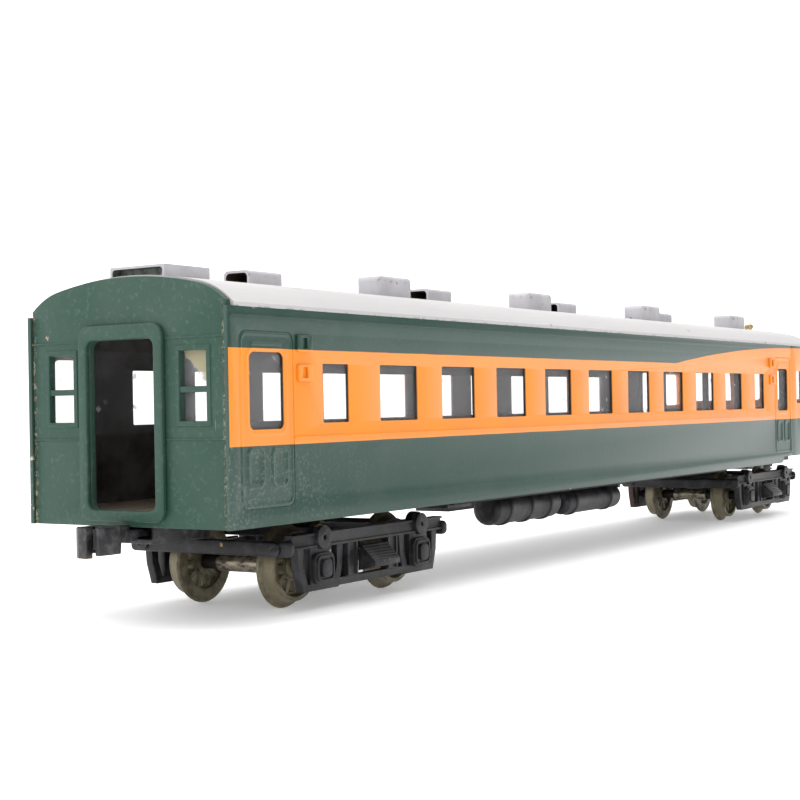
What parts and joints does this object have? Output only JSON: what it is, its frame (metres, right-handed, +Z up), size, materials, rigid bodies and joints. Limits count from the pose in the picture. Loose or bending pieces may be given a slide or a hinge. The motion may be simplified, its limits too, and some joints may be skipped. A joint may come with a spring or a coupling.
{
  "type": "model passenger coach",
  "caption": "Scale model of a railway passenger coach with a driving cab at one end, on two swivelling four-wheel bogies with spoked wheels and knuckle couplers.",
  "frame": {"origin": "on the track surface level of the wheel flanges, under the middle of the body", "axes": "+X along the coach from the gangway end to the cab end, +Y across it, +Z up"},
  "size_m": [0.2592, 0.0374, 0.0506],
  "materials": {
    "side_sheet": "satin paint, green below and above an orange window band",
    "end_sheet": "satin green paint",
    "gangway_paint": "satin green paint",
    "cab_paint": "satin paint, green with an orange band",
    "cab_door_paint": "satin paint, green with an orange band",
    "roof_paint": "matt pale grey paint",
    "vent_paint": "matt grey paint",
    "whistle_brass": "dull",
    "floor_wood": "bare, darkened",
    "inner_card": "matt dark brown-grey",
    "glazing": "clear sheet with glue smears",
    "door_paint": "satin paint, green with an orange band",
    "holder_paint": "satin paint",
    "lamp_rim": "satin",
    "lamp_lens": "clear",
    "tail_lens": "gloss red",
    "underfloor_black": "satin black",
    "coupler_black": "satin black",
    "screw_brass": "dull",
    "bogie_black": "satin black paint, worn at the edges",
    "screw_black": "satin",
    "axle_steel": "tarnished",
    "wheel_brass": "dull olive brown"
  },
  "bodies": {
    "coach": {"side_right": "side_sheet", "side_left": "side_sheet", "rear_end": "end_sheet", "gangway_frame": "gangway_paint", "cab_front": "cab_paint", "cab_door": "cab_door_paint", "roof": "roof_paint", "roof_vent_wide": "vent_paint", "whistle": "whistle_brass", "floor": "floor_wood", "cab_bulkhead": "inner_card", "glazing_right": "glazing", "glazing_left": "glazing", "glazing_rear": "glazing", "glazing_cab": "glazing", "door_rear_right": "door_paint", "door_rear_left": "door_paint", "door_front_right": "door_paint", "door_front_left": "door_paint", "board_holders": "holder_paint", "headlights": "lamp_rim", "headlight_lenses": "lamp_lens", "tail_lights": "tail_lens", "main_reservoir": "underfloor_black", "slim_reservoir": "underfloor_black", "equipment_box": "underfloor_black", "brake_gear": "underfloor_black", "coupler_pocket_rear": "coupler_black", "coupler_pocket_front": "coupler_black", "king_screws": "screw_brass", "roof_vent_1": "vent_paint", "roof_vent_2": "vent_paint", "roof_vent_3": "vent_paint", "roof_vent_4": "vent_paint", "roof_vent_5": "vent_paint", "roof_vent_6": "vent_paint", "roof_vent_7": "vent_paint", "roof_vent_8": "vent_paint"},
    "rear_bogie": {"rear_side_frame_right": "bogie_black", "rear_side_frame_left": "bogie_black", "rear_end_beams": "bogie_black", "rear_bolster": "bogie_black", "rear_frame_screws": "screw_black"},
    "front_bogie": {"front_side_frame_right": "bogie_black", "front_side_frame_left": "bogie_black", "front_end_beams": "bogie_black", "front_bolster": "bogie_black", "front_frame_screws": "screw_black"},
    "wheelset_1": {"axle_1": "axle_steel", "wheels_1": "wheel_brass"},
    "wheelset_2": {"axle_2": "axle_steel", "wheels_2": "wheel_brass"},
    "wheelset_3": {"axle_3": "axle_steel", "wheels_3": "wheel_brass"},
    "wheelset_4": {"axle_4": "axle_steel", "wheels_4": "wheel_brass"},
    "rear_coupler": {"coupler_rear": "coupler_black"},
    "rear_knuckle": {"knuckle_rear": "coupler_black"},
    "front_coupler": {"coupler_front": "coupler_black"},
    "front_knuckle": {"knuckle_front": "coupler_black"}
  },
  "joints": [
    {"name": "rear_bogie_swivel", "type": "hinge", "parent": "coach", "child": "rear_bogie", "pos_m": [-0.08388, 0, 0.012], "axis": [0, 0, 1], "range_deg": [-12, 12]},
    {"name": "front_bogie_swivel", "type": "hinge", "parent": "coach", "child": "front_bogie", "pos_m": [0.09112, 0, 0.012], "axis": [0, 0, 1], "range_deg": [-12, 12]},
    {"name": "wheelset_1_spin", "type": "hinge", "parent": "rear_bogie", "child": "wheelset_1", "pos_m": [-0.097, 0, 0.00625], "axis": [0, 1, 0], "continuous": true},
    {"name": "wheelset_2_spin", "type": "hinge", "parent": "rear_bogie", "child": "wheelset_2", "pos_m": [-0.07075, 0, 0.00625], "axis": [0, 1, 0], "continuous": true},
    {"name": "wheelset_3_spin", "type": "hinge", "parent": "front_bogie", "child": "wheelset_3", "pos_m": [0.078, 0, 0.00625], "axis": [0, 1, 0], "continuous": true},
    {"name": "wheelset_4_spin", "type": "hinge", "parent": "front_bogie", "child": "wheelset_4", "pos_m": [0.10425, 0, 0.00625], "axis": [0, 1, 0], "continuous": true},
    {"name": "rear_coupler_swing", "type": "hinge", "parent": "coach", "child": "rear_coupler", "pos_m": [-0.11188, 0, 0.0126], "axis": [0, 0, 1], "range_deg": [-8, 8], "stiffness_Nm_per_rad": 0.0008},
    {"name": "rear_knuckle_opening", "type": "hinge", "parent": "rear_coupler", "child": "rear_knuckle", "pos_m": [-0.12727, 0.0024, 0.0121], "axis": [0, 0, 1], "range_deg": [-30, 0], "stiffness_Nm_per_rad": 0.0002},
    {"name": "front_coupler_swing", "type": "hinge", "parent": "coach", "child": "front_coupler", "pos_m": [0.11188, 0, 0.0126], "axis": [0, 0, 1], "range_deg": [-8, 8], "stiffness_Nm_per_rad": 0.0008},
    {"name": "front_knuckle_opening", "type": "hinge", "parent": "front_coupler", "child": "front_knuckle", "pos_m": [0.12727, -0.0024, 0.0121], "axis": [0, 0, 1], "range_deg": [-30, 0], "stiffness_Nm_per_rad": 0.0002}
  ]
}
